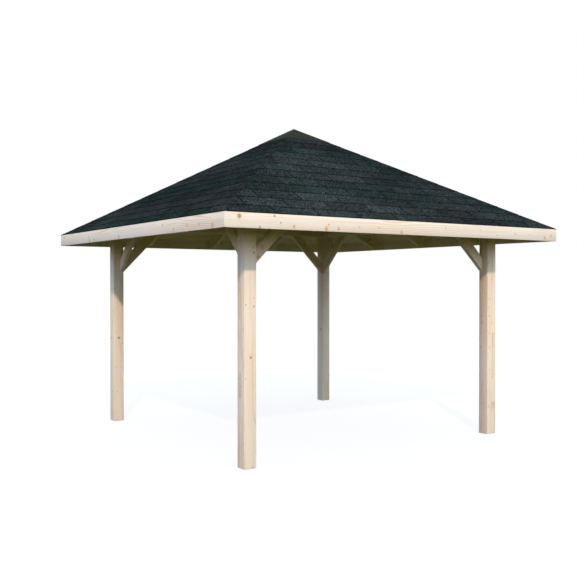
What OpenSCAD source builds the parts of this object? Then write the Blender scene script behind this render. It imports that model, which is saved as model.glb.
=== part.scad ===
// Square garden gazebo: four braced posts, a beam ring and a hipped roof.
// Millimetres, +Z up. The origin is on the ground at the middle of the plan.
// The front side faces -Y, the right side faces +X.

/* [Posts] */
// Distance over the outer faces of two neighbouring posts
post_spread = 3096; // [2600:4:3500]
// Width of a square post
post_w = 120; // [100:5:150]

/* [Roof] */
// Side of the roof over the outer faces of the fascias
roof_side = 3972; // [3760:4:4200]
// Slope of the roof in degrees
roof_pitch = 30; // [26:0.5:34]
// Height of the underside of the fascias
eave_z = 2040; // [1950:5:2300]
// Height of a fascia at its outer face
fascia_h = 124; // [110:2:150]
// Thickness of a fascia
fascia_t = 18; // [15:1:28]
// Thickness of the roof boards
board_t = 18; // [15:1:25]
// Number of boards from the peak to the eave
board_count = 24; // [16:1:32]
// Depth of the V groove under the joint of two boards
board_groove = 4; // [2:0.5:6]
// Thickness of the shingle layer at the lower edge of a course
shingle_t = 5; // [4.5:0.5:10]
// How much a course falls from its lower edge to its upper end
shingle_step = 2.5; // [1:0.5:3.5]
// Height of a shingle course that shows, along the slope
course_h = 172; // [140:2:200]
// Height of the lowest shingle course, along the slope
first_course_h = 134; // [100:2:180]
// How far the shingles reach past the fascias
shingle_lip = 0; // [0:1:25]
// Side of the square cap on the apex
cap_side = 570; // [400:10:660]
// Thickness of the cap sheet
cap_t = 2; // [1:0.5:4]

/* [Rafters] */
// Thickness of the common and jack rafters
rafter_w = 45; // [38:1:60]
// Depth of the common and jack rafters, square to the slope
rafter_h = 135; // [110:5:145]
// Distance of a jack rafter from the middle of its side
jack_offset = 900; // [700:10:1100]
// Thickness of the hip rafters
hip_w = 60; // [45:1:62]
// How much deeper a hip rafter is than the other rafters
hip_extra = 25; // [15:1:40]
// How far the level cut under the rafter tails is above the fascia's underside
tail_lift = 22; // [5:1:40]
// Width of the eight-sided king block across its flats
king_w = 150; // [150:2:190]
// How far the king block hangs below the hip rafters
king_drop = 36; // [10:2:80]

/* [Beams and braces] */
// Thickness of the beams and the knee braces
beam_t = 45; // [38:1:60]
// Height of the beams
beam_h = 90; // [80:5:120]
// Depth of a knee brace, square to its length
brace_h = 100; // [70:5:120]
// How far the lower edge of a knee brace reaches from the post along the beam
brace_reach = 490; // [350:10:650]

/* [Hidden] */
// Half sizes in plan
post_out = post_spread / 2;
post_in = post_out - post_w;
beam_out = post_in + beam_t;
roof_half = roof_side / 2;
fascia_in = roof_half - fascia_t;
shingle_out = roof_half + shingle_lip;
king_half = king_w / 2;

// Rise of the roof for each millimetre in plan, square to the eave
rise = tan(roof_pitch);
// Plumb thickness of what lies square to the slope
function plumb(t) = t / cos(roof_pitch);
// Place of a point on the +X slope: its run down the slope from the peak, and its height square to the boards
function on_slope(run, lift) = [
    run * cos(roof_pitch) + lift * sin(roof_pitch),
    board_peak - run * sin(roof_pitch) + lift * cos(roof_pitch)
];
// Slope of a hip, which runs along the diagonal
hip_rise = rise / sqrt(2);
hip_plumb = (rafter_h + hip_extra) / cos(atan(hip_rise));

// Heights of the roof's planes over the middle of the plan
board_peak = eave_z + fascia_h + roof_half * rise;
rafter_peak = board_peak - plumb(board_t);
shingle_peak = board_peak + plumb(shingle_t);
cap_peak = shingle_peak + plumb(cap_t);
rafter_under_peak = rafter_peak - plumb(rafter_h);
hip_under_peak = rafter_peak - hip_plumb;

// Runs down the slope: a board's width, and the lower edges of the courses that show below the cap
board_w = (fascia_in + board_t * sin(roof_pitch)) / cos(roof_pitch) / board_count;
eave_run = plumb(shingle_out);
course_count = floor((eave_run - first_course_h - plumb(cap_side / 2)) / course_h);
course_runs = [for (i = [course_count:-1:0]) eave_run - first_course_h - i * course_h];

// Level seats: the beams carry the rafters, the posts carry the beams and the hips
beam_top = rafter_under_peak - post_in * rise;
beam_z = beam_top - beam_h;
lap_z = beam_z + beam_h / 2;
post_h = hip_under_peak - beam_out * rise;
tail_z = eave_z + tail_lift;
brace_foot = beam_z - brace_reach;
brace_cut = brace_h * sqrt(2);
king_z = hip_under_peak - king_half * hip_rise - king_drop;

// Turn of each side from the +X axis, and of each corner from the (+X, +Y) one
RIGHT = 0;
BACK = 90;
LEFT = 180;
FRONT = 270;
BACK_RIGHT = 0;
BACK_LEFT = 90;
FRONT_LEFT = 180;
FRONT_RIGHT = 270;

// Which way along its side a brace lies, seen with the side facing +X
TO_MINUS_Y = -1;
TO_PLUS_Y = 1;

// Room that a cutting shape takes past what it cuts
over = 50;

timber = "burlywood";
shaded_timber = "tan";
bitumen = "darkslategray";
sheet = "darkolivegreen";

// A profile of (distance from the middle, height), given a width along Y
module standing_profile(points, width) {
    translate([0, width / 2, 0])
        rotate([90, 0, 0])
            linear_extrude(width)
                polygon(points);
}

// The quarter of the plan that belongs to the +X side, out to a distance
module side_quarter(reach) {
    linear_extrude(cap_peak + over)
        polygon([[0, 0], [reach, -reach], [reach, reach]]);
}

// Everything under four slopes that meet at a peak, out to a distance
module under_slopes(peak, reach) {
    eave = peak - reach * rise;
    gable = [[-reach, 0], [reach, 0], [reach, eave], [0, peak], [-reach, eave]];
    intersection() {
        standing_profile(gable, 2 * reach);
        rotate(90)
            standing_profile(gable, 2 * reach);
    }
}

// A layer of the roof on the +X side from its profile, cut plumb at the eave and mitred along both hips
module slope_layer(points, reach) {
    intersection() {
        standing_profile(points, 2 * reach);
        side_quarter(reach);
    }
}

// A rafter's outline from its upper end to the fascia: bird's mouth on the beam, level cut at the tail
module rafter_stock(upper_end, width) {
    tail_start = (rafter_under_peak - tail_z) / rise;
    standing_profile([
        [upper_end, rafter_peak - upper_end * rise],
        [fascia_in, rafter_peak - fascia_in * rise],
        [fascia_in, tail_z],
        [tail_start, tail_z],
        [beam_out, rafter_under_peak - beam_out * rise],
        [beam_out, beam_top],
        [post_in, beam_top],
        [upper_end, rafter_under_peak - upper_end * rise]
    ], width);
}

// A post with a pocket at its inner corner, where two beams meet
module post(corner) {
    color(timber)
        rotate(corner)
            difference() {
                translate([post_in, post_in, 0])
                    cube([post_w, post_w, post_h]);
                translate([post_in - over, post_in - over, beam_z])
                    cube([beam_t + over, beam_t + over, beam_h]);
            }
}

// A beam on the +X side, halved at both ends where it crosses its neighbours
module beam(side, upper_lap) {
    lap_cut = upper_lap ? beam_z - over : lap_z;
    color(shaded_timber)
        rotate(side)
            difference() {
                translate([post_in, -beam_out, beam_z])
                    cube([beam_t, 2 * beam_out, beam_h]);
                for (end = [-beam_out - over, post_in])
                    translate([post_in - over, end, lap_cut])
                        cube([beam_t + 2 * over, beam_t + over, lap_z - beam_z + over]);
            }
}

// A knee brace at 45 degrees from a post's side face to the underside of a beam
module brace(side, toward) {
    color(timber)
        rotate(side)
            translate([post_in, 0, 0])
                rotate([90, 0, 90])
                    linear_extrude(beam_t)
                        polygon([
                            [toward * post_in, brace_foot],
                            [toward * post_in, brace_foot + brace_cut],
                            [toward * (post_in - brace_reach + brace_cut), beam_z],
                            [toward * (post_in - brace_reach), beam_z]
                        ]);
}

// A hip rafter: backed under both slopes, stepped over the beams' corner and the post, pointed at the eave
module hip_rafter(corner) {
    lower_end = fascia_in * sqrt(2);
    tail_start = (hip_under_peak - tail_z) / hip_rise;
    color(shaded_timber)
        rotate(corner)
            difference() {
                intersection() {
                    rotate(45)
                        standing_profile([
                            [king_half, rafter_peak],
                            [lower_end, rafter_peak],
                            [lower_end, tail_z],
                            [tail_start, tail_z],
                            [king_half, hip_under_peak - king_half * hip_rise]
                        ], hip_w);
                    under_slopes(rafter_peak, fascia_in);
                }
                translate([post_in, post_in, beam_z])
                    cube([post_w, post_w, post_h - beam_z]);
                translate([post_in, 0, beam_z])
                    cube([beam_t, beam_out, beam_h]);
                translate([0, post_in, beam_z])
                    cube([beam_out, beam_t, beam_h]);
            }
}

// The rafter from the king block to the middle of a side
module common_rafter(side) {
    color(shaded_timber)
        rotate(side)
            rafter_stock(king_half, rafter_w);
}

// The two rafters of a side that run from the eave to the hips, cut along the hips' faces
module jack_rafters(side) {
    hip_face = hip_w / sqrt(2);
    color(shaded_timber)
        rotate(side)
            for (way = [-1, 1])
                intersection() {
                    translate([0, way * jack_offset, 0])
                        rafter_stock(jack_offset - rafter_w, rafter_w);
                    translate([hip_face, 0, 0])
                        side_quarter(roof_half);
                }
}

// The eight-sided block at the peak that all upper ends butt against
module king_block() {
    color(shaded_timber)
        intersection() {
            translate([0, 0, king_z])
                rotate(180 / 8)
                    cylinder(h = rafter_peak - king_z, r = king_half / cos(180 / 8), $fn = 8);
            under_slopes(rafter_peak, king_w);
        }
}

// The board along an eave: mitred at the corners, its top bevelled to the slope
module fascia(side) {
    color(timber)
        rotate(side)
            intersection() {
                standing_profile([
                    [fascia_in, eave_z],
                    [roof_half, eave_z],
                    [roof_half, board_peak - roof_half * rise],
                    [fascia_in, board_peak - fascia_in * rise]
                ], roof_side);
                side_quarter(roof_half);
            }
}

// The level boards of a slope, between the fascia and the peak, with a V groove under each joint
module roof_boards(side) {
    grooves = [
        for (i = [board_count - 1:-1:1])
            each [
                on_slope(i * board_w + board_groove, -board_t),
                on_slope(i * board_w, board_groove - board_t),
                on_slope(i * board_w - board_groove, -board_t)
            ]
    ];
    color(shaded_timber)
        rotate(side)
            slope_layer(concat(
                [[0, board_peak], on_slope(eave_run, 0), on_slope(eave_run, -board_t)],
                grooves,
                [[0, rafter_peak]]
            ), fascia_in);
}

// The shingle courses of a slope: each starts thin under the one above and ends in a thick lower edge
module shingles(side) {
    steps = [
        for (run = course_runs)
            each [on_slope(run, shingle_t), on_slope(run, shingle_t - shingle_step)]
    ];
    color(bitumen)
        rotate(side)
            slope_layer(concat(
                [[0, shingle_peak]],
                steps,
                [on_slope(eave_run, shingle_t), on_slope(eave_run + over, shingle_t)],
                [on_slope(eave_run + over, 0), [0, board_peak]]
            ), shingle_out);
}

// The folded sheet over the meeting of the four slopes
module apex_cap() {
    color(sheet)
        difference() {
            under_slopes(cap_peak, cap_side / 2);
            under_slopes(shingle_peak, cap_side);
        }
}

post(FRONT_LEFT);  // post_front_left
post(FRONT_RIGHT);  // post_front_right
post(BACK_LEFT);  // post_back_left
post(BACK_RIGHT);  // post_back_right
beam(FRONT, false);  // beam_front
beam(BACK, false);  // beam_back
beam(LEFT, true);  // beam_left
beam(RIGHT, true);  // beam_right
brace(FRONT, TO_MINUS_Y);  // brace_front_left
brace(FRONT, TO_PLUS_Y);  // brace_front_right
brace(BACK, TO_PLUS_Y);  // brace_back_left
brace(BACK, TO_MINUS_Y);  // brace_back_right
brace(LEFT, TO_PLUS_Y);  // brace_left_front
brace(LEFT, TO_MINUS_Y);  // brace_left_back
brace(RIGHT, TO_MINUS_Y);  // brace_right_front
brace(RIGHT, TO_PLUS_Y);  // brace_right_back
hip_rafter(FRONT_LEFT);  // hip_rafter_front_left
hip_rafter(FRONT_RIGHT);  // hip_rafter_front_right
hip_rafter(BACK_LEFT);  // hip_rafter_back_left
hip_rafter(BACK_RIGHT);  // hip_rafter_back_right
common_rafter(FRONT);  // common_rafter_front
common_rafter(BACK);  // common_rafter_back
common_rafter(LEFT);  // common_rafter_left
common_rafter(RIGHT);  // common_rafter_right
jack_rafters(FRONT);  // jack_rafters_front
jack_rafters(BACK);  // jack_rafters_back
jack_rafters(LEFT);  // jack_rafters_left
jack_rafters(RIGHT);  // jack_rafters_right
king_block();
fascia(FRONT);  // fascia_front
fascia(BACK);  // fascia_back
fascia(LEFT);  // fascia_left
fascia(RIGHT);  // fascia_right
roof_boards(FRONT);  // roof_boards_front
roof_boards(BACK);  // roof_boards_back
roof_boards(LEFT);  // roof_boards_left
roof_boards(RIGHT);  // roof_boards_right
shingles(FRONT);  // shingles_front
shingles(BACK);  // shingles_back
shingles(LEFT);  // shingles_left
shingles(RIGHT);  // shingles_right
apex_cap();
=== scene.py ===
"""Square timber garden gazebo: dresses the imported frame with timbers, boards, shingles and a stage."""

import math
import random

import bpy
import numpy as np
from mathutils import Matrix, Vector


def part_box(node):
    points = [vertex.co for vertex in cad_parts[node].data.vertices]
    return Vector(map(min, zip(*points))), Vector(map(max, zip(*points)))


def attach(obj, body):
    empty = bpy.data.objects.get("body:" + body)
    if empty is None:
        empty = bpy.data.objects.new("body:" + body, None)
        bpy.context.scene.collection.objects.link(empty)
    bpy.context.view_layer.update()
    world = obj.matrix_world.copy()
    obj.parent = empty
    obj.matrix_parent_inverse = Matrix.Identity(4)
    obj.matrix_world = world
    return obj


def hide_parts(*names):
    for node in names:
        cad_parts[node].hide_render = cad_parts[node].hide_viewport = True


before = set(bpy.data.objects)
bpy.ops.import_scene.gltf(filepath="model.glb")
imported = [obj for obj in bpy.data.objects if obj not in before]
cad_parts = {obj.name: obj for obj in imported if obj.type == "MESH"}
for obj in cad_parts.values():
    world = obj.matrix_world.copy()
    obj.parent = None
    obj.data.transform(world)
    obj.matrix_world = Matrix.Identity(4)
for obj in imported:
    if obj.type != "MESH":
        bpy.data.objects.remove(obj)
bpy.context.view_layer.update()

bl_info = {
    "name": "Garden gazebo",
    "version": (1, 0, 0),
    "blender": (4, 5, 0),
    "location": "View3D > Sidebar > Gazebo",
    "description": "Dresses a square timber gazebo with timbers, boards, shingles and a stage",
    "category": "Add Mesh",
}

# Sides and corners of the plan, with the turn of each from the +X side or the (+X, +Y) corner, and braces,
# with the side that each stands on and the end of that side that it is at
SIDES = {"right": 0, "back": 90, "left": 180, "front": 270}
CORNERS = {"back_right": 0, "back_left": 90, "front_left": 180, "front_right": 270}
BRACES = {
    "right_front": ("right", -1), "right_back": ("right", 1),
    "back_right": ("back", -1), "back_left": ("back", 1),
    "left_back": ("left", -1), "left_front": ("left", 1),
    "front_left": ("front", -1), "front_right": ("front", 1),
}

# Sizes read from the frame, in metres
FASCIA_LOW, FASCIA_HIGH = (Vector(corner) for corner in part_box("fascia_right"))
BOARDS_LOW, BOARDS_HIGH = (Vector(corner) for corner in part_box("roof_boards_right"))
FASCIA_IN = FASCIA_LOW.x
ROOF_HALF = FASCIA_HIGH.x
BOARD_PEAK = BOARDS_HIGH.z
RISE = (BOARD_PEAK - FASCIA_HIGH.z) / FASCIA_IN
PITCH = math.atan(RISE)
BOARD_T = (BOARD_PEAK - FASCIA_IN * RISE - BOARDS_LOW.z) * math.cos(PITCH)
SHINGLE_REACH = Vector(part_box("shingles_right")[1]).x
CAP_HALF = Vector(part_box("apex_cap")[1]).x

# The photograph's viewpoint: where the eye is, which way it looks, its lens and sensor, and how far it sees
EYE = (-5.089, -7.582, 1.607)
EYE_YAW = math.radians(33.748)
EYE_TILT = math.radians(-0.662)
EYE_LENS = 50.39
EYE_SENSOR = 36
EYE_REACH = 500

# From the object towards the sun, with the sun's distance, and level towards the sky's glow and its low haze
SUNWARD = Vector((-0.424, -0.723, 0.545))
SUN_DISTANCE = 12
GLOWWARD = Vector((0.0, -1.0, 0.0))
HAZEWARD = Vector((-1.0, 0.0, 0.0))

# How high the bands of the sky lie, as the sine of their height: its horizon, its middle and its top
SKY_BANDS = {"horizon": 0.0, "middle": 0.21, "middle_end": 0.47, "top": 0.77}

# Knots that show in the photograph, by the face they lie on: place along it, height in it, radius and
# warmth, from a dark dead knot at 0 to an orange live one at 1
PHOTO_KNOTS = {
    ("fascia_front", "-Y"): (
        (0.136, 0.093, 0.017, 0.3), (0.326, 0.008, 0.009, 0.6), (0.466, 0.106, 0.008, 0.0),
        (0.526, 0.054, 0.006, 0.3), (0.656, 0.027, 0.009, 1.0), (0.986, 0.020, 0.013, 1.0),
        (1.013, 0.060, 0.006, 0.6), (1.116, 0.027, 0.009, 1.0), (1.346, 0.050, 0.005, 0.3),
        (1.566, 0.052, 0.005, 0.2), (1.826, 0.022, 0.010, 1.0), (2.376, 0.077, 0.005, 0.2),
        (2.836, 0.076, 0.005, 0.2), (3.076, 0.032, 0.005, 0.5), (3.336, 0.054, 0.006, 0.2),
        (3.556, 0.053, 0.005, 0.4), (3.786, 0.029, 0.011, 1.0), (3.886, 0.057, 0.008, 0.7)),
    ("fascia_left", "-X"): (
        (0.196, 0.025, 0.013, 0.9), (0.426, 0.051, 0.007, 0.5), (0.646, 0.053, 0.007, 0.4),
        (0.906, 0.031, 0.008, 0.8), (1.136, 0.080, 0.007, 0.4), (2.166, 0.021, 0.012, 0.8),
        (2.866, 0.026, 0.010, 0.9), (3.006, 0.021, 0.013, 1.0), (3.856, 0.096, 0.011, 0.3)),
    ("post_front_left", "-Y"): (
        (0.097, 1.865, 0.008, 0.1), (0.095, 1.402, 0.007, 0.2), (0.064, 0.962, 0.010, 0.1)),
    ("post_front_right", "-Y"): (
        (0.061, 1.637, 0.006, 0.7), (0.032, 1.545, 0.004, 0.8), (0.032, 1.436, 0.005, 0.9),
        (0.032, 1.343, 0.005, 0.9), (0.032, 1.255, 0.006, 1.0), (0.061, 1.177, 0.006, 0.8),
        (0.036, 1.069, 0.005, 0.9), (0.104, 1.063, 0.004, 0.8), (0.032, 0.921, 0.006, 0.9),
        (0.031, 0.681, 0.005, 0.9)),
    ("post_front_right", "-X"): (
        (0.062, 1.636, 0.006, 0.8), (0.091, 1.341, 0.005, 0.9), (0.087, 1.253, 0.006, 1.0),
        (0.078, 1.182, 0.006, 0.9), (0.087, 1.072, 0.004, 0.8), (0.091, 0.918, 0.006, 0.9)),
    ("post_back_left", "-Y"): ((0.060, 0.963, 0.012, 0.1),),
    ("post_back_left", "-X"): ((0.074, 0.961, 0.009, 0.1), (0.020, 0.104, 0.006, 0.2)),
    ("post_back_right", "-X"): ((0.045, 0.970, 0.009, 0.1),),
    ("brace_front_left", "-Y"): ((0.110, 0.190, 0.014, 0.7), (0.068, 0.100, 0.014, 0.5)),
}

# Painted light on the shingles of each slope: a painted shade level for how the light falls on that slope,
# the swing of a painted sheen that rises and falls along it, and how much the tone varies at random from
# course to course and from tab to tab
SLOPE_SHADE_SHEEN_AND_TONE = {
    "right": (0.98, 0.1, 0.37), "back": (0.95, 0.12, 0.37),
    "left": (0.862, 0.05, 0.37), "front": (0.975, 0.18, 0.47),
}
# The seeds of the tints of the courses and of the tabs on each slope
TINT_SEEDS = {"right": (2, 3), "back": (4, 5), "left": (33919, 14710), "front": (831, 92919)}

# Radius of a knot that is too small to see
LEAST_KNOT = 0.0005

# Further colours of the timber: stains, the wood round a knot, a dead knot's heart, a live knot's rim,
# pin knots and cut ends
STAIN_COLOR = (0.80, 0.60, 0.42)
HALO_COLOR = (0.72, 0.42, 0.20)
DEAD_HEART_COLOR = (0.30, 0.18, 0.09)
LIVE_RIM_COLOR = (0.56, 0.30, 0.15)
PIN_KNOT_COLOR = (0.50, 0.28, 0.13)
CUT_END_COLOR = (0.52, 0.36, 0.21)

# Bitumen at the cut edges of a shingle, and the darkest and palest parts of the felt, which is darker than
# felt is so that it shows as painted shade in the slots between tabs
BITUMEN_COLOR = (0.005, 0.006, 0.006)
FELT_AND_SLOT_SHADE_DARK_COLOR = (0.002, 0.0025, 0.0025)
FELT_AND_SLOT_SHADE_PALE_COLOR = (0.005, 0.0055, 0.0055)

WHITE = (1, 1, 1)

# Where a timber may have grown: how far along the log, how far aside of the pith, and how far past it
LOG_LENGTH = 90
PITH_ASIDE = (0.03, 0.07)
PITH_SPREAD = 0.04

# Shingles: how far a tab's lower edge is lifted and how wide its edges are eased, as shares of its
# thickness, how far it clears the felt, and the share of its hue that it has from its course
LIFT_SHARE = 1.25
EASE_SHARE = 0.3
CLEARANCE = 0.0002
COURSE_SHARE = 0.75

# How near points are merged, how flat faces are joined, which edges shade smooth, and which faces are cuts
MERGE_DISTANCE = 0.00001
FLAT_ANGLE = math.radians(0.5)
SMOOTH_ANGLE = math.radians(35)
CUT_ANGLE = math.radians(50)


class TimberSettings(bpy.types.PropertyGroup):
    """Sizes and colours of the timber."""
    eased_edge: bpy.props.FloatProperty(
        name="Eased edge", description="Width of the eased edges of planed timber",
        default=0.004, min=0.0005, max=0.01, unit="LENGTH")
    ring_width: bpy.props.FloatProperty(
        name="Ring width", description="Distance between two growth rings",
        default=0.009, min=0.001, max=0.02, unit="LENGTH")
    wood_color: bpy.props.FloatVectorProperty(
        name="Wood", description="Colour of the pale early wood",
        default=(0.80, 0.70, 0.585), min=0, max=1, subtype="COLOR")
    late_color: bpy.props.FloatVectorProperty(
        name="Late wood", description="Colour of the darker rings",
        default=(0.60, 0.415, 0.26), min=0, max=1, subtype="COLOR")
    knot_color: bpy.props.FloatVectorProperty(
        name="Dead knots", description="Colour of the dark knots",
        default=(0.15, 0.075, 0.04), min=0, max=1, subtype="COLOR")
    live_knot_color: bpy.props.FloatVectorProperty(
        name="Live knots", description="Colour of the orange knots",
        default=(0.66, 0.40, 0.22), min=0, max=1, subtype="COLOR")


class RoofSettings(bpy.types.PropertyGroup):
    """Sizes and colours of the roof's boards, shingles and cap."""
    boards: bpy.props.IntProperty(
        name="Boards", description="Number of boards on a slope", default=24, min=8, max=40)
    board_gap: bpy.props.FloatProperty(
        name="Board gap", description="Gap between two boards",
        default=0.0012, min=0.0005, max=0.004, unit="LENGTH")
    board_groove: bpy.props.FloatProperty(
        name="Board groove", description="Chamfer on the lower edges of a board",
        default=0.004, min=0.001, max=0.008, unit="LENGTH")
    course: bpy.props.FloatProperty(
        name="Course", description="Height of a shingle course that shows",
        default=0.172, min=0.1, max=0.25, unit="LENGTH")
    first_course: bpy.props.FloatProperty(
        name="First course", description="Height of the lowest course that shows",
        default=0.144, min=0.05, max=0.25, unit="LENGTH")
    overlap: bpy.props.FloatProperty(
        name="Overlap", description="How far a shingle reaches under the next course",
        default=0.03, min=0.01, max=0.1, unit="LENGTH")
    tab_width: bpy.props.FloatProperty(
        name="Tab width", description="Distance between two slots of a course",
        default=0.44, min=0.2, max=0.6, unit="LENGTH")
    slot_shift: bpy.props.FloatProperty(
        name="Slot shift", description="How far the slots stand from the middle of a slope",
        default=-0.179, min=-0.3, max=0.3, unit="LENGTH")
    slot_width: bpy.props.FloatProperty(
        name="Slot width", description="Width of the slot between two tabs",
        default=0.010, min=0.003, max=0.02, unit="LENGTH")
    tab_thickness: bpy.props.FloatProperty(
        name="Tab thickness", description="Thickness of a shingle",
        default=0.0018, min=0.001, max=0.006, unit="LENGTH")
    felt_thickness: bpy.props.FloatProperty(
        name="Felt thickness", description="Thickness of the felt under the shingles",
        default=0.0008, min=0.0005, max=0.003, unit="LENGTH")
    slate_color: bpy.props.FloatVectorProperty(
        name="Slate", description="Grey granules",
        default=(0.0147, 0.0191, 0.0202), min=0, max=1, subtype="COLOR")
    sage_color: bpy.props.FloatVectorProperty(
        name="Sage", description="Green granules",
        default=(0.0124, 0.0207, 0.0195), min=0, max=1, subtype="COLOR")
    plum_color: bpy.props.FloatVectorProperty(
        name="Plum", description="Purple grey granules",
        default=(0.0157, 0.0185, 0.0207), min=0, max=1, subtype="COLOR")
    cap_color: bpy.props.FloatVectorProperty(
        name="Cap", description="Coating of the cap sheet",
        default=(0.0155, 0.0189, 0.0136), min=0, max=1, subtype="COLOR")


class StageSettings(bpy.types.PropertyGroup):
    """The floor and the light."""
    floor_size: bpy.props.FloatProperty(
        name="Floor size", description="Side of the floor", default=120.0, min=20, max=400, unit="LENGTH")
    floor_color: bpy.props.FloatVectorProperty(
        name="Floor", description="Colour of the floor",
        default=(0.9, 0.9, 0.9), min=0, max=1, subtype="COLOR")
    shadow_share: bpy.props.FloatProperty(
        name="Shadow share", description="How much of the floor's brightness the shadow can take",
        default=0.15, min=0, max=1, subtype="FACTOR")
    bounce_color: bpy.props.FloatVectorProperty(
        name="Bounce", description="Light that the ground sends back up",
        default=(0.041, 0.047, 0.008), min=0, max=1, subtype="COLOR")
    zenith_color: bpy.props.FloatVectorProperty(
        name="Zenith", description="Soft light from above",
        default=(1.0, 1.12, 0.95), min=0, max=2, subtype="COLOR")
    middle_color: bpy.props.FloatVectorProperty(
        name="Middle", description="Soft light from all round, over the horizon",
        default=(0.86, 1.22, 1.96), min=0, max=2, subtype="COLOR")
    horizon_color: bpy.props.FloatVectorProperty(
        name="Horizon", description="Soft light from the horizon",
        default=(0.6, 0.5, 0.15), min=0, max=2, subtype="COLOR")
    glow_color: bpy.props.FloatVectorProperty(
        name="Glow", description="Soft light added in the middle of the sky at the front",
        default=(1.22, 1.18, 0.85), min=0, max=2, subtype="COLOR")
    haze_color: bpy.props.FloatVectorProperty(
        name="Haze", description="Soft light added near the horizon on the left",
        default=(0.45, 0.35, 0.8), min=0, max=2, subtype="COLOR")
    sun_color: bpy.props.FloatVectorProperty(
        name="Sun", description="Colour of the key light",
        default=(1.0, 0.78, 0.66), min=0, max=1, subtype="COLOR")
    sun_strength: bpy.props.FloatProperty(
        name="Sun strength", description="Level of the key light", default=2.2, min=0, max=10)
    sun_softness: bpy.props.FloatProperty(
        name="Sun softness", description="Angle that the key light spans",
        default=math.radians(2), min=0, max=1, subtype="ANGLE")


class Graph:
    """The node tree of a material or a world, with one short call for each kind of step."""

    def __init__(self, owner):
        owner.use_nodes = True
        self.owner = owner
        self.nodes = owner.node_tree.nodes
        self.links = owner.node_tree.links
        self.shader = self.nodes.get("Principled BSDF")

    def put(self, value, socket):
        """Links a socket to another, or writes a plain value into it."""
        if isinstance(value, bpy.types.NodeSocket):
            self.links.new(value, socket)
        else:
            socket.default_value = value

    def shade(self, name, value):
        """Sets one input of the surface shader."""
        self.put(value, self.shader.inputs[name])

    def attribute(self, name, output):
        """Reads a mesh attribute."""
        node = self.nodes.new("ShaderNodeAttribute")
        node.attribute_name = name
        return node.outputs[output]

    def math(self, operation, *values):
        """One step of arithmetic."""
        node = self.nodes.new("ShaderNodeMath")
        node.operation = operation
        for socket, value in zip(node.inputs, values):
            self.put(value, socket)
        return node.outputs[0]

    def vector(self, operation, *values):
        """One step of vector arithmetic."""
        node = self.nodes.new("ShaderNodeVectorMath")
        node.operation = operation
        for socket, value in zip(node.inputs, values):
            self.put(value, socket)
        return node.outputs["Value" if operation in {"LENGTH", "DOT_PRODUCT"} else "Vector"]

    def split(self, vector):
        """The three parts of a vector or a colour."""
        node = self.nodes.new("ShaderNodeSeparateXYZ")
        self.put(vector, node.inputs[0])
        return node.outputs[0], node.outputs[1], node.outputs[2]

    def noise(self, vector, stretch, detail=2.0, roughness=0.5):
        """Soft noise, with so many features to the metre along each axis."""
        node = self.nodes.new("ShaderNodeTexNoise")
        self.put(self.vector("MULTIPLY", vector, stretch), node.inputs["Vector"])
        node.inputs["Scale"].default_value = 1.0
        node.inputs["Detail"].default_value = detail
        node.inputs["Roughness"].default_value = roughness
        return node.outputs["Fac"]

    def cells(self, vector, randomness=1.0):
        """Cells one unit apart: the node's outputs by name."""
        node = self.nodes.new("ShaderNodeTexVoronoi")
        self.put(vector, node.inputs["Vector"])
        node.inputs["Scale"].default_value = 1.0
        node.inputs["Randomness"].default_value = randomness
        return node.outputs

    def span(self, value, low, high, to_low=0.0, to_high=1.0):
        """Carries one range of values smoothly to another."""
        node = self.nodes.new("ShaderNodeMapRange")
        node.interpolation_type = "SMOOTHSTEP"
        for socket, entry in zip(node.inputs, (value, low, high, to_low, to_high)):
            self.put(entry, socket)
        return node.outputs[0]

    def blend(self, factor, first, second, how="MIX"):
        """Blends two colours."""
        node = self.nodes.new("ShaderNodeMix")
        node.data_type = "RGBA"
        node.blend_type = how
        self.put(factor, node.inputs["Factor"])
        self.put(opaque(first), node.inputs[6])
        self.put(opaque(second), node.inputs[7])
        return node.outputs[2]

    def bump(self, height, strength, distance):
        """Raises the surface by a height."""
        node = self.nodes.new("ShaderNodeBump")
        node.inputs["Strength"].default_value = strength
        node.inputs["Distance"].default_value = distance
        self.put(height, node.inputs["Height"])
        self.shade("Normal", node.outputs[0])

    def surface(self, kind, color):
        """A plain shader of one colour."""
        node = self.nodes.new(kind)
        node.inputs["Color"].default_value = opaque(color)
        return node.outputs[0]

    def mix(self, factor, first, second):
        """Mixes two shaders."""
        node = self.nodes.new("ShaderNodeMixShader")
        for socket, value in zip(node.inputs, (factor, first, second)):
            self.put(value, socket)
        return node.outputs[0]


def opaque(color):
    """A colour with its alpha, or the socket that was given."""
    if isinstance(color, bpy.types.NodeSocket):
        return color
    return (*color[:3], 1.0)


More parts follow.
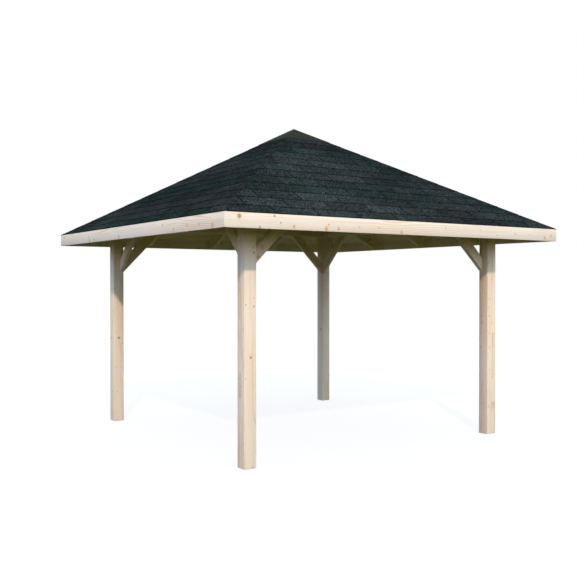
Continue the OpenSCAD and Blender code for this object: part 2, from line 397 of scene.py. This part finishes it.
def spruce(name, knot_radius, tint=(1, 1, 1), own_knots=(), knot_depth=0.95, gloss=0.3, pin_depth=0.0):
    """Bare planed spruce: growth rings round an off-centre pith, fibres and knots, in the piece's own grain.

    A tint multiplies the colour; knots of the timber's own are given by their place, radius and warmth;
    the knot depth says how strongly the knots stand out, the gloss how planed the surface is, and the
    pin depth how strongly pin knots stand out.
    """
    settings = bpy.context.scene.gazebo_timber
    g = Graph(bpy.data.materials.new(name))
    grain = g.attribute("grain", "Vector")
    cut_end = g.attribute("cut_end", "Fac")

    # Knots: one in each long cell of the timber at most, and the timber's own
    knot_cell = (0.30, 0.06, 0.06)
    knot_stretch = 1.3
    live_stretch = 0.35
    places = g.vector("DIVIDE", grain, knot_cell)
    cells = g.cells(places, randomness=0.85)
    from_knot = g.vector("MULTIPLY", g.vector("SUBTRACT", places, cells["Position"]),
                         (knot_cell[0] / knot_stretch, knot_cell[1], knot_cell[2]))
    pick, warmth, _ = g.split(cells["Color"])
    radius = g.span(pick, 0.3, 1.0, LEAST_KNOT, knot_radius)
    reach = g.math("DIVIDE", g.vector("LENGTH", from_knot), radius)
    place = g.nodes.new("ShaderNodeTexCoord").outputs["Object"]
    for middle, own_radius, own_warmth in own_knots:
        flatten = (1.0, 1.0, 1.0 - live_stretch * own_warmth)
        aside = g.vector("MULTIPLY", g.vector("SUBTRACT", place, middle), flatten)
        own_reach = g.math("DIVIDE", g.vector("LENGTH", aside), own_radius)
        nearer = g.math("LESS_THAN", own_reach, reach)
        warmth = g.math("MULTIPLY_ADD", nearer, g.math("SUBTRACT", own_warmth, warmth), warmth)
        reach = g.math("MINIMUM", reach, own_reach)
    knot = g.span(reach, 1.05, 0.7)
    halo = g.span(reach, 2.4, 0.9)

    # Rings, pushed aside by the knots
    wander = 0.07
    push = 0.009
    wander_stretch = (0.7, 4.0, 4.0)
    elsewhere = (7.0, 3.0, 5.0)
    wander_a = g.noise(grain, wander_stretch)
    wander_b = g.noise(g.vector("ADD", grain, elsewhere), wander_stretch)
    _, across, depth = g.split(grain)
    across = g.math("MULTIPLY_ADD", wander_a, wander, across)
    depth = g.math("MULTIPLY_ADD", wander_b, wander, depth)
    squares = g.math("ADD", g.math("MULTIPLY", across, across), g.math("MULTIPLY", depth, depth))
    from_pith = g.math("MULTIPLY_ADD", halo, push, g.math("SQRT", squares))
    phase = g.math("FRACT", g.math("DIVIDE", from_pith, settings.ring_width))
    late = g.math("MULTIPLY", g.span(phase, 0.5, 0.93), g.span(phase, 1.0, 0.95))

    # Fibres and slow changes along the timber
    fibre = g.noise(grain, (9.0, 420.0, 420.0), detail=3.0, roughness=0.6)
    streak = g.noise(grain, (1.2, 55.0, 55.0), detail=3.0, roughness=0.55)
    cloud = g.noise(grain, (1.1, 6.0, 6.0))

    # The colour, from the rings to the knots, the cut ends and the tint
    late_share = g.math("MULTIPLY", late, g.span(cloud, 0.42, 0.66, 0.1, 0.85))
    color = g.blend(late_share, settings.wood_color, settings.late_color)
    color = g.blend(g.span(streak, 0.45, 0.8, 0.0, 0.35), color, settings.late_color)
    color = g.blend(g.span(cloud, 0.35, 0.7, 0.0, 0.15), color, STAIN_COLOR)
    color = g.blend(g.span(fibre, 0.55, 0.8, 0.0, 0.18), color, settings.late_color)
    color = g.blend(g.math("MULTIPLY", halo, 0.4), color, HALO_COLOR)
    rim = g.span(reach, 0.4, 0.95)
    dead_knot = g.blend(rim, DEAD_HEART_COLOR, settings.knot_color)
    live_knot = g.blend(rim, settings.live_knot_color, LIVE_RIM_COLOR)
    color = g.blend(g.math("MULTIPLY", knot, knot_depth), color, g.blend(warmth, dead_knot, live_knot))
    if pin_depth:
        color = g.blend(g.math("MULTIPLY", pin_knots(g, grain), pin_depth), color, PIN_KNOT_COLOR)
    color = g.blend(g.math("MULTIPLY", cut_end, 0.45), color, CUT_END_COLOR)
    color = g.blend(1.0, color, tint, "MULTIPLY")

    g.shade("Base Color", color)
    g.shade("Roughness", g.span(fibre, 0.2, 0.8, 0.55, 0.74))
    g.shade("Specular IOR Level", gloss)
    height = g.math("MULTIPLY_ADD", late, 0.5, fibre)
    height = g.math("MULTIPLY_ADD", knot, -0.6, height)
    g.bump(height, strength=0.35, distance=0.0006)
    return g.owner


def pin_knots(g, grain):
    """Where a timber has pin knots: one in each small cell at most."""
    pin_cell = (0.07, 0.035, 0.035)
    pin_radius = 0.009
    places = g.vector("DIVIDE", grain, pin_cell)
    cells = g.cells(places, randomness=0.9)
    aside = g.vector("MULTIPLY", g.vector("SUBTRACT", places, cells["Position"]), pin_cell)
    pick, _, _ = g.split(cells["Color"])
    radius = g.span(pick, 0.4, 1.0, LEAST_KNOT, pin_radius)
    return g.span(g.math("DIVIDE", g.vector("LENGTH", aside), radius), 1.1, 0.6)


def photo_knots(kind):
    """The places, radii and warmths of the knots that show on one kind of timber."""
    knots = []
    for (node, face), entries in PHOTO_KNOTS.items():
        if node.startswith(kind):
            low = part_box(node)[0]
            for along, up, radius, warmth in entries:
                shift = (along, 0) if face == "-Y" else (0, along)
                knots.append(((low[0] + shift[0], low[1] + shift[1], low[2] + up), radius, warmth))
    return knots


def granules():
    """Mineral granules on bitumen: tints by tab, speckle, dark cut edges, and painted shade under the next
    course's butts.
    """
    settings = bpy.context.scene.gazebo_roof
    g = Graph(bpy.data.materials.new("bitumen_granules"))
    lie = g.attribute("lie", "Vector")
    tab = g.attribute("tab", "Vector")
    cut_edge = g.attribute("cut_end", "Fac")
    # The second tint of a tab is its level: its random tone, with the painted shade of its slope and the
    # painted sheen along it
    green, light, purple = g.split(tab)
    _, up, _ = g.split(lie)

    # Single granules, clumps of them, and slow changes over the slope
    granules_to_metre = (420.0, 420.0, 420.0)
    clumps_to_metre = (190.0, 105.0, 105.0)
    fine = g.cells(g.vector("MULTIPLY", lie, granules_to_metre))
    coarse = g.cells(g.vector("MULTIPLY", lie, clumps_to_metre))
    speck, speck_tint, _ = g.split(fine["Color"])
    clump, _, _ = g.split(coarse["Color"])
    mottle = g.noise(lie, (40.0, 30.0, 30.0), detail=4.0, roughness=0.7)
    patch = g.noise(lie, (2.4, 6.0, 6.0))
    elsewhere = (13.0, 5.0, 0.0)
    drift = g.noise(g.vector("ADD", lie, elsewhere), (3.0, 4.0, 4.0), detail=1.0)

    # The hue, and then the level, with painted shade in a band under the butts of the next course, where
    # their shadow falls
    greenness = g.math("MULTIPLY_ADD", patch, 0.8, g.math("SUBTRACT", green, 0.4))
    color = g.blend(g.span(greenness, 0.2, 0.8), settings.slate_color, settings.sage_color)
    color = g.blend(g.math("MULTIPLY", purple, g.span(drift, 0.3, 0.6)), color, settings.plum_color)
    level = g.math("MULTIPLY", light, g.span(drift, 0.3, 0.7, 0.87, 1.13))
    level = g.math("MULTIPLY", level, g.span(mottle, 0.3, 0.7, 0.96, 1.04))
    level = g.math("MULTIPLY", level, g.span(clump, 0.2, 1.0, 0.36, 2.4))
    level = g.math("MULTIPLY", level, g.span(speck, 0.0, 1.0, 0.5, 1.6))
    painted_shade_band_start = settings.course - 0.017
    painted_shade_band_end = settings.course - 0.004
    painted_shade_band_level = 0.33
    level = g.math("MULTIPLY", level, g.span(up, painted_shade_band_start, painted_shade_band_end, 1.0, painted_shade_band_level))
    shade = g.nodes.new("ShaderNodeCombineColor")
    for socket in shade.inputs:
        g.put(level, socket)
    color = g.blend(1.0, color, shade.outputs[0], "MULTIPLY")
    color = g.blend(cut_edge, color, BITUMEN_COLOR)
    g.shade("Base Color", color)
    g.shade("Roughness", g.span(speck_tint, 0.0, 1.0, 0.85, 1.0))
    g.shade("Specular IOR Level", 0.0)
    height = g.math("SUBTRACT", g.math("MULTIPLY", mottle, 0.6), fine["Distance"])
    g.bump(height, strength=0.5, distance=0.0012)
    return g.owner


def felt():
    """Black bitumen felt under the shingles, darkened further as painted shade in the slots between tabs."""
    g = Graph(bpy.data.materials.new("bitumen_felt"))
    place = g.attribute("lie", "Vector")
    weave = g.noise(place, (300.0, 300.0, 300.0), detail=3.0, roughness=0.7)
    g.shade("Base Color", g.blend(weave, FELT_AND_SLOT_SHADE_DARK_COLOR, FELT_AND_SLOT_SHADE_PALE_COLOR))
    g.shade("Roughness", g.span(weave, 0.2, 0.8, 0.75, 0.95))
    g.shade("Specular IOR Level", 0.0)
    g.bump(weave, strength=0.4, distance=0.0006)
    return g.owner


def cap_coating():
    """Dull olive coating on folded sheet, a little dusty."""
    settings = bpy.context.scene.gazebo_roof
    g = Graph(bpy.data.materials.new("cap_coating"))
    coordinate = g.nodes.new("ShaderNodeTexCoord").outputs["Object"]
    dust = g.noise(coordinate, (14.0, 14.0, 14.0), detail=4.0, roughness=0.6)
    fine = g.noise(coordinate, (260.0, 260.0, 260.0), roughness=0.6)
    dust_gain = 1.4
    dusty = tuple(channel * dust_gain for channel in settings.cap_color)
    g.shade("Base Color", g.blend(g.span(dust, 0.35, 0.75), settings.cap_color, dusty))
    g.shade("Roughness", g.span(fine, 0.25, 0.75, 0.62, 0.8))
    g.shade("Specular IOR Level", 0.02)
    g.bump(g.math("MULTIPLY_ADD", dust, 0.3, fine), strength=0.15, distance=0.0005)
    return g.owner


def deselect_all():
    """Leaves object mode with nothing selected."""
    if bpy.context.object is not None and bpy.context.object.mode != "OBJECT":
        bpy.ops.object.mode_set(mode="OBJECT")
    bpy.ops.object.select_all(action="DESELECT")


def select_only(piece):
    """Makes one object the active and only selected one."""
    deselect_all()
    piece.select_set(True)
    bpy.context.view_layer.objects.active = piece


def start_block(name, low, high):
    """A block between two corners, as a start for a piece."""
    deselect_all()
    low = Vector(low)
    high = Vector(high)
    bpy.ops.mesh.primitive_cube_add(size=1, location=(low + high) / 2)
    piece = bpy.context.object
    piece.name = name
    piece.scale = high - low
    bpy.ops.object.transform_apply(location=True, rotation=True, scale=True)
    return piece


def own_copy(piece, name):
    """A copy of a piece with its own mesh."""
    copy = piece.copy()
    copy.data = piece.data.copy()
    copy.name = name
    bpy.context.collection.objects.link(copy)
    return copy


def apply_modifier(piece, modifier):
    """Applies one modifier for good."""
    select_only(piece)
    bpy.ops.object.modifier_apply(modifier=modifier.name)


def ease_edges(piece, width, segments=2):
    """Rounds the sharp edges of a piece."""
    bevel = piece.modifiers.new("eased_edges", "BEVEL")
    bevel.width = width
    bevel.segments = segments
    bevel.limit_method = "ANGLE"
    bevel.angle_limit = SMOOTH_ANGLE
    bevel.use_clamp_overlap = True
    apply_modifier(piece, bevel)
    select_only(piece)
    bpy.ops.object.shade_smooth_by_angle(angle=SMOOTH_ANGLE)


def repeat(piece, count, step):
    """Repeats a piece in a row, in one mesh."""
    row = piece.modifiers.new("row", "ARRAY")
    row.count = count
    row.use_relative_offset = False
    row.use_constant_offset = True
    row.constant_offset_displace = step
    apply_modifier(piece, row)


def trim(piece, point, normal):
    """Cuts away what lies past a plane and closes the cut."""
    select_only(piece)
    bpy.ops.object.mode_set(mode="EDIT")
    bpy.ops.mesh.select_all(action="SELECT")
    bpy.ops.mesh.bisect(plane_co=point, plane_no=normal, use_fill=True, clear_outer=True)
    bpy.ops.object.mode_set(mode="OBJECT")


def place_piece(piece, matrix):
    """Moves a piece to its place and keeps the place in its mesh."""
    select_only(piece)
    piece.matrix_world = matrix
    bpy.ops.object.transform_apply(location=True, rotation=True, scale=True)


def points_of(piece):
    """The points of a piece as an array."""
    flat = np.empty(len(piece.data.vertices) * 3)
    piece.data.vertices.foreach_get("co", flat)
    return flat.reshape(-1, 3)


def write_attribute(piece, name, kind, domain, values):
    """Stores values on the mesh for the material to read."""
    layer = piece.data.attributes.new(name, kind, domain)
    layer.data.foreach_set("vector" if kind == "FLOAT_VECTOR" else "value", np.asarray(values).ravel())


def read_attribute(piece, name):
    """The number stored at each point of the mesh."""
    values = np.empty(len(piece.data.vertices))
    piece.data.attributes[name].data.foreach_get("value", values)
    return values


def run_grain(piece, along, offset=None):
    """Gives a timber its grain along a direction, from a place in the log that is its own."""
    along = Vector(along).normalized()
    upright = 0.9
    helper = Vector((0, 0, 1)) if abs(along.z) < upright else Vector((1, 0, 0))
    across = along.cross(helper).normalized()
    depth = along.cross(across)
    axes = np.array([along, across, depth])
    points = points_of(piece)
    local = (points - points.mean(axis=0)) @ axes.T
    if offset is None:
        place = random.Random(piece.name)
        offset = (place.uniform(0, LOG_LENGTH), place.choice((-1, 1)) * place.uniform(*PITH_ASIDE),
                  place.uniform(-PITH_SPREAD, PITH_SPREAD))
    write_attribute(piece, "grain", "FLOAT_VECTOR", "POINT", local + np.array(offset))
    mark_ends(piece, along)


def mark_ends(piece, along):
    """Marks the faces that are cut across a direction."""
    steep = math.cos(CUT_ANGLE)
    ends = [1.0 if abs(face.normal.dot(along)) > steep else 0.0 for face in piece.data.polygons]
    write_attribute(piece, "cut_end", "FLOAT", "FACE", ends)


def finish(piece, material, node):
    """Gives a piece its material and its place in the frame."""
    piece.data.materials.clear()
    piece.data.materials.append(material)
    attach(piece, "root")
    if node:
        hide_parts(node)


def eased_timber(node, share=1.0):
    """A timber from its solid: loose triangles merged into flat faces, then eased edges."""
    piece = own_copy(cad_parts[node], node + "_timber")
    piece.parent = None
    piece.matrix_world = Matrix.Identity(4)
    select_only(piece)
    bpy.ops.object.mode_set(mode="EDIT")
    bpy.ops.mesh.select_all(action="SELECT")
    bpy.ops.mesh.remove_doubles(threshold=MERGE_DISTANCE)
    bpy.ops.mesh.dissolve_limited(angle_limit=FLAT_ANGLE)
    bpy.ops.object.mode_set(mode="OBJECT")
    ease_edges(piece, bpy.context.scene.gazebo_timber.eased_edge * share)
    return piece


def turned(vector, degrees):
    """A vector turned about the upright axis."""
    return Matrix.Rotation(math.radians(degrees), 3, "Z") @ Vector(vector)


def slope_place(turn):
    """From a flat slope to its place: X down the slope from the peak, Y along the eave, Z out of it."""
    return (Matrix.Translation((0, 0, BOARD_PEAK))
            @ Matrix.Rotation(math.radians(turn), 4, "Z")
            @ Matrix.Rotation(PITCH, 4, "Y"))


def trim_slope(piece, reach):
    """Cuts a flat slope along both hips, and plumb at a distance from the middle of the plan."""
    for way in (-1, 1):
        trim(piece, (0, 0, 0), (-math.cos(PITCH), way, -math.sin(PITCH)))
    lower = (reach / math.cos(PITCH), 0, 0)
    trim(piece, lower, (math.cos(PITCH), 0, math.sin(PITCH)))


class GAZEBO_OT_frame_timbers(bpy.types.Operator):
    """Make the posts, beams and knee braces"""
    bl_idname = "gazebo.frame_timbers"
    bl_label = "Posts, beams and braces"

    def execute(self, context):
        warm = (1.0, 0.97, 0.895)
        wood = spruce("planed_spruce", knot_radius=0.006, tint=warm, own_knots=photo_knots("post"),
                      pin_depth=0.7)
        brace_wood = spruce("brace_spruce", knot_radius=0.010, tint=warm, own_knots=photo_knots("brace"),
                            knot_depth=0.5)
        for corner in CORNERS:
            post = eased_timber("post_" + corner)
            run_grain(post, (0, 0, 1))
            finish(post, wood, "post_" + corner)
        for side, turn in SIDES.items():
            beam = eased_timber("beam_" + side)
            run_grain(beam, turned((0, 1, 0), turn))
            finish(beam, wood, "beam_" + side)
        for place, (side, way) in BRACES.items():
            brace = eased_timber("brace_" + place)
            run_grain(brace, turned((0, way, -1), SIDES[side]))
            finish(brace, brace_wood, "brace_" + place)
        return {"FINISHED"}


class GAZEBO_OT_rafters(bpy.types.Operator):
    """Make the hip, common and jack rafters and the king block"""
    bl_idname = "gazebo.rafters"
    bl_label = "Rafters and king block"

    def execute(self, context):
        # The tint is painted shade: it darkens and yellows the rafters towards the olive light under the
        # roof, a little darker than the boards
        wood = spruce("rafter_spruce", knot_radius=0.014, tint=(0.98, 0.98, 0.8), gloss=0.12)
        for corner, turn in CORNERS.items():
            hip = eased_timber("hip_rafter_" + corner, share=0.4)
            run_grain(hip, turned((1, 1, -RISE), turn))
            finish(hip, wood, "hip_rafter_" + corner)
        for side, turn in SIDES.items():
            for kind in ("common_rafter_", "jack_rafters_"):
                rafter = eased_timber(kind + side, share=0.4)
                run_grain(rafter, turned((1, 0, -RISE), turn))
                finish(rafter, wood, kind + side)
        king = eased_timber("king_block")
        run_grain(king, (0, 0, 1))
        finish(king, wood, "king_block")
        return {"FINISHED"}


class GAZEBO_OT_fascias(bpy.types.Operator):
    """Make the boards along the eaves"""
    bl_idname = "gazebo.fascias"
    bl_label = "Fascias"

    def execute(self, context):
        wood = spruce("fascia_spruce", knot_radius=0.006, tint=(0.97, 1.0, 1.0),
                      own_knots=photo_knots("fascia"))
        log_step = 20.0
        pith_behind = 0.055
        pith_step = 0.01
        for number, (side, turn) in enumerate(SIDES.items()):
            fascia = eased_timber("fascia_" + side, share=0.5)
            run_grain(fascia, turned((0, 1, 0), turn), (log_step * number, pith_behind, pith_step * number))
            finish(fascia, wood, "fascia_" + side)
        return {"FINISHED"}


class GAZEBO_OT_roof_boards(bpy.types.Operator):
    """Make the level boards of the four slopes"""
    bl_idname = "gazebo.roof_boards"
    bl_label = "Roof boards"

    def execute(self, context):
        settings = context.scene.gazebo_roof
        # The tint is painted light: it brightens and yellows the boards towards the olive light under the
        # roof
        wood = spruce("board_spruce", knot_radius=0.014, tint=(1.1, 1.07, 0.9), gloss=0.12)
        length = (FASCIA_IN + BOARD_T * math.sin(PITCH)) / math.cos(PITCH)
        cover = length / settings.boards
        half_gap = settings.board_gap / 2
        board = start_block("roof_board", (half_gap, -FASCIA_IN, -BOARD_T), (cover - half_gap, FASCIA_IN, 0))
        self.groove(board, settings.board_groove)
        repeat(board, settings.boards, (cover, 0, 0))
        trim_slope(board, FASCIA_IN)
        for side, turn in SIDES.items():
            slope = own_copy(board, "roof_boards_" + side + "_boards")
            self.number_boards(slope, cover, side)
            place_piece(slope, slope_place(turn))
            finish(slope, wood, "roof_boards_" + side)
        bpy.data.objects.remove(board)
        return {"FINISHED"}

    def groove(self, board, width):
        """Chamfers the two long lower edges of a board."""
        select_only(board)
        mesh = board.data
        lowest = min(point.co.z for point in mesh.vertices)
        bpy.ops.object.mode_set(mode="EDIT")
        bpy.ops.mesh.select_mode(type="EDGE")
        bpy.ops.mesh.select_all(action="DESELECT")
        bpy.ops.object.mode_set(mode="OBJECT")
        for edge in mesh.edges:
            first, second = (mesh.vertices[index].co for index in edge.vertices)
            low = max(first.z, second.z) < lowest + width
            edge.select = low and abs(first.x - second.x) < width
        bpy.ops.object.mode_set(mode="EDIT")
        bpy.ops.mesh.bevel(offset=width, segments=1)
        bpy.ops.object.mode_set(mode="OBJECT")

    def number_boards(self, slope, cover, side):
        """Gives each board of a slope its own stretch of grain."""
        points = points_of(slope)
        middles = (np.floor(points[:, 0] / cover) + 0.5) * cover
        chance = random.Random(side)
        pith_below = (0.03, 0.08)
        spare_boards = 2
        offsets = [
            (chance.uniform(0, LOG_LENGTH), chance.uniform(-PITH_SPREAD, PITH_SPREAD),
             chance.uniform(*pith_below))
            for _ in range(int(points[:, 0].max() / cover) + spare_boards)]
        index = np.clip(np.floor(points[:, 0] / cover).astype(int), 0, len(offsets) - 1)
        local = np.column_stack([points[:, 1], points[:, 0] - middles, points[:, 2]])
        write_attribute(slope, "grain", "FLOAT_VECTOR", "POINT", local + np.array(offsets)[index])
        mark_ends(slope, Vector((0, 1, 0)))


class GAZEBO_OT_shingles(bpy.types.Operator):
    """Make the felt and the shingle courses of the four slopes"""
    bl_idname = "gazebo.shingles"
    bl_label = "Felt and shingles"

    def execute(self, context):
        settings = context.scene.gazebo_roof
        felt_material = felt()
        granule_material = granules()
        eave = SHINGLE_REACH / math.cos(PITCH)
        felt_sheet = self.lay_felt(settings, eave)
        trim_slope(felt_sheet, SHINGLE_REACH)
        courses = self.lay_courses(settings, eave)
        for side, turn in SIDES.items():
            sheet = own_copy(felt_sheet, "felt_" + side)
            write_attribute(sheet, "lie", "FLOAT_VECTOR", "POINT", points_of(sheet))
            place_piece(sheet, slope_place(turn))
            finish(sheet, felt_material, None)
            slope = own_copy(courses, "shingles_" + side + "_courses")
            self.tint_tabs(slope, settings, eave, side)
            place_piece(slope, slope_place(turn))
            finish(slope, granule_material, "shingles_" + side)
        bpy.data.objects.remove(felt_sheet)
        bpy.data.objects.remove(courses)
        return {"FINISHED"}

    def lay_felt(self, settings, eave):
        """The felt of one slope, with the starter strip that the lowest course rests on at the eave."""
        bed = settings.felt_thickness
        sheet = start_block("felt", (0, -eave, 0), (eave, eave, bed))
        starter = start_block("starter", (eave - settings.overlap, -eave, bed),
                              (eave, eave, bed + self.raised(settings)))
        starter.select_set(True)
        sheet.select_set(True)
        bpy.context.view_layer.objects.active = sheet
        bpy.ops.object.join()
        return sheet

    def raised(self, settings):
        """How far the lower edge of a tab stands off the felt, a little more than a tab's thickness."""
        return settings.tab_thickness * LIFT_SHARE

    def butts(self, settings, eave):
        """How far down the slope the lower edge of each course lies, from the eave up."""
        places = [eave]
        step = settings.first_course
        while places[-1] - step > CAP_HALF / math.cos(PITCH):
            places.append(places[-1] - step)
            step = settings.course
        return places

    def lay_courses(self, settings, eave):
        """One slope of courses: a tab, repeated along a course, and the course repeated up the slope."""
        half_slot = settings.slot_width / 2
        depth = settings.course + settings.overlap
        raised = self.raised(settings)
        tab = start_block("shingle_courses", (-depth, half_slot, 0),
                          (0, settings.tab_width - half_slot, settings.tab_thickness))
        ease_edges(tab, settings.tab_thickness * EASE_SHARE, segments=1)
        spare_tabs = 3
        count = int(2 * ROOF_HALF / settings.tab_width) + spare_tabs
        repeat(tab, count, (0, settings.tab_width, 0))
        write_attribute(tab, "along", "FLOAT", "POINT", np.floor(points_of(tab)[:, 1] / settings.tab_width))
        rows = []
        for number, butt in enumerate(self.butts(settings, eave)):
            row = own_copy(tab, "course")
            write_attribute(row, "course", "FLOAT", "POINT", np.full(len(row.data.vertices), float(number)))
            stagger = (number % 2) / 2
            shift = settings.slot_shift + settings.tab_width * (stagger - count / 2)
            tilt = Matrix.Rotation(-math.atan(raised / depth), 4, "Y")
            height = settings.felt_thickness + raised + CLEARANCE
            place_piece(row, Matrix.Translation((butt, shift, height)) @ tilt)
            trim_slope(row, SHINGLE_REACH)
            rows.append(row)
        bpy.data.objects.remove(tab)
        select_only(rows[0])
        for row in rows:
            row.select_set(True)
        bpy.ops.object.join()
        rows[0].name = "shingle_courses"
        return rows[0]

    def tint_tabs(self, slope, settings, eave, side):
        """Gives each tab its tints, with painted shade by slope and a painted sheen, and its place; marks
        cut edges.
        """
        points = points_of(slope)
        butts = np.array(self.butts(settings, eave))
        lie = np.empty_like(points)
        tint = np.empty_like(points)
        by_course, by_tab = [random.Random(seed) for seed in TINT_SEEDS[side]]
        painted_slope_shade, painted_sheen_swing, spread = SLOPE_SHADE_SHEEN_AND_TONE[side]
        short = settings.course - settings.first_course
        sheen_wave_length = 2.9
        sheen_wave_shift = 0.9
        courses_apart = 40
        flat = 0.8
        course_tints = [(by_course.random(), by_course.random(), by_course.random()) for _ in butts]
        for number, island in self.tabs_of(slope):
            green, light, purple = course_tints[number]
            own = (by_tab.random(), by_tab.random(), by_tab.random())
            # The level: random tone of the course and tab, times the painted shade of the slope and the
            # painted sheen along it
            brightness = painted_slope_shade * (1 + spread * (light + own[1] - 1))
            painted_sheen = np.cos(math.tau * (points[island, 1] + sheen_wave_shift) / sheen_wave_length)
            tint[island, 0] = COURSE_SHARE * green + (1 - COURSE_SHARE) * own[0]
            tint[island, 1] = brightness * (1 + painted_sheen_swing * painted_sheen)
            tint[island, 2] = COURSE_SHARE * purple + (1 - COURSE_SHARE) * own[2]
            lie[island, 0] = points[island, 1] + courses_apart * number
            lie[island, 1] = butts[number] - points[island, 0] + (0 if number else short)
            lie[island, 2] = points[island, 2]
        write_attribute(slope, "lie", "FLOAT_VECTOR", "POINT", lie)
        write_attribute(slope, "tab", "FLOAT_VECTOR", "POINT", tint)
        edges = [0.0 if abs(face.normal.z) > flat else 1.0 for face in slope.data.polygons]
        write_attribute(slope, "cut_end", "FLOAT", "FACE", edges)

    def tabs_of(self, slope):
        """The course and the points of each tab."""
        marks = np.stack([read_attribute(slope, name) for name in ("course", "along")], axis=1).round()
        return [(int(mark[0]), np.flatnonzero((marks == mark).all(axis=1)))
                for mark in np.unique(marks, axis=0)]


class GAZEBO_OT_apex_cap(bpy.types.Operator):
    """Make the folded cap on the apex"""
    bl_idname = "gazebo.apex_cap"
    bl_label = "Apex cap"

    def execute(self, context):
        cap = eased_timber("apex_cap", share=0.2)
        cap.name = "apex_cap_sheet"
        finish(cap, cap_coating(), "apex_cap")
        return {"FINISHED"}


class GAZEBO_OT_stage(bpy.types.Operator):
    """Make the floor, the light and the camera"""
    bl_idname = "gazebo.stage"
    bl_label = "Stage"

    def execute(self, context):
        settings = context.scene.gazebo_stage
        self.lay_floor(settings)
        self.light(context.scene, settings)
        self.aim_camera(context.scene)
        context.scene.view_settings.view_transform = "Standard"
        return {"FINISHED"}

    def lay_floor(self, settings):
        """A pale floor that shows the shadow, and sends a little light back up."""
        deselect_all()
        bpy.ops.mesh.primitive_plane_add(size=settings.floor_size)
        floor = bpy.context.object
        floor.name = "floor"
        g = Graph(bpy.data.materials.new("pale_floor"))
        g.nodes.remove(g.shader)
        pale = g.surface("ShaderNodeBsdfDiffuse", settings.floor_color)
        lit = g.surface("ShaderNodeEmission", WHITE)
        shown = g.mix(settings.shadow_share, lit, pale)
        bounce = g.surface("ShaderNodeBsdfDiffuse", settings.bounce_color)
        whole = g.mix(seen_directly(g), bounce, shown)
        g.put(whole, g.nodes["Material Output"].inputs["Surface"])
        floor.data.materials.append(g.owner)

    def light(self, scene, settings):
        """Soft light all round and a warm key light from the photograph's sunny side."""
        g = Graph(bpy.data.worlds.new("soft_sky"))
        scene.world = g.owner
        sky = g.nodes["Background"]
        g.put(self.sky_tint(g, settings), sky.inputs["Color"])
        white = g.surface("ShaderNodeBackground", WHITE)
        both = g.mix(seen_directly(g), sky.outputs[0], white)
        g.put(both, g.nodes["World Output"].inputs["Surface"])
        deselect_all()
        bpy.ops.object.light_add(type="SUN", location=SUNWARD * SUN_DISTANCE)
        sun = bpy.context.object
        sun.name = "key_sun"
        sun.rotation_euler = SUNWARD.to_track_quat("Z", "Y").to_euler()
        sun.data.energy = settings.sun_strength
        sun.data.color = settings.sun_color
        sun.data.angle = settings.sun_softness

    def sky_tint(self, g, settings):
        """Bands over the whole sky, with a glow towards the front and a low haze towards the left.

        The glow and the haze fall off with the square of how far a direction faces them.
        """
        direction = g.nodes.new("ShaderNodeTexCoord").outputs["Generated"]
        _, _, height = g.split(direction)
        dark = (0, 0, 0)
        color = self.bands(g, height, settings.horizon_color, settings.middle_color, settings.zenith_color)
        glow = self.bands(g, height, dark, settings.glow_color, dark)
        haze = self.bands(g, height, settings.haze_color, dark, dark)
        for added, way in ((glow, GLOWWARD), (haze, HAZEWARD)):
            toward = g.math("MAXIMUM", g.vector("DOT_PRODUCT", direction, way), 0)
            color = g.blend(g.math("MULTIPLY", toward, toward), color, added, "ADD")
        return color

    def bands(self, g, height, horizon, middle, zenith):
        """A ramp from the horizon's colour over the middle's to the zenith's."""
        node = g.nodes.new("ShaderNodeValToRGB")
        g.put(height, node.inputs["Fac"])
        ramp = node.color_ramp
        first, last = ramp.elements
        first.position = SKY_BANDS["horizon"]
        first.color = opaque(horizon)
        last.position = SKY_BANDS["top"]
        last.color = opaque(zenith)
        for band in ("middle", "middle_end"):
            ramp.elements.new(SKY_BANDS[band]).color = opaque(middle)
        return node.outputs["Color"]

    def aim_camera(self, scene):
        """The photograph's viewpoint."""
        deselect_all()
        bpy.ops.object.camera_add(location=EYE, rotation=(math.pi / 2 + EYE_TILT, 0, -EYE_YAW))
        camera = bpy.context.object
        camera.name = "photo_camera"
        camera.data.lens = EYE_LENS
        camera.data.sensor_width = EYE_SENSOR
        camera.data.clip_end = EYE_REACH
        scene.camera = camera


def seen_directly(g):
    """One for rays from the eye, in a reflection or through glass, and nothing for light on the object."""
    path = g.nodes.new("ShaderNodeLightPath").outputs
    total = path["Is Camera Ray"]
    for name in ("Is Glossy Ray", "Is Transmission Ray"):
        total = g.math("MAXIMUM", total, path[name])
    return total


OPERATORS = (
    GAZEBO_OT_frame_timbers, GAZEBO_OT_rafters, GAZEBO_OT_fascias, GAZEBO_OT_roof_boards,
    GAZEBO_OT_shingles, GAZEBO_OT_apex_cap, GAZEBO_OT_stage,
)


class GAZEBO_PT_panel(bpy.types.Panel):
    """Lists the steps that make the gazebo"""
    bl_idname = "GAZEBO_PT_panel"
    bl_label = "Gazebo"
    bl_space_type = "VIEW_3D"
    bl_region_type = "UI"
    bl_category = "Gazebo"

    def draw(self, context):
        for operator in OPERATORS:
            self.layout.operator(operator.bl_idname)


SETTINGS = {"gazebo_timber": TimberSettings, "gazebo_roof": RoofSettings, "gazebo_stage": StageSettings}


def register():
    """Registers the settings, the steps and the panel."""
    for name, group in SETTINGS.items():
        bpy.utils.register_class(group)
        setattr(bpy.types.Scene, name, bpy.props.PointerProperty(type=group))
    for entry in (*OPERATORS, GAZEBO_PT_panel):
        bpy.utils.register_class(entry)


def unregister():
    """Takes the settings, the steps and the panel away again."""
    for entry in (GAZEBO_PT_panel, *reversed(OPERATORS)):
        bpy.utils.unregister_class(entry)
    for name, group in SETTINGS.items():
        delattr(bpy.types.Scene, name)
        bpy.utils.unregister_class(group)


def main():
    """Makes the gazebo and its stage."""
    register()
    for operator in OPERATORS:
        group, name = operator.bl_idname.split(".")
        getattr(getattr(bpy.ops, group), name)()


if __name__ == "__main__":
    main()
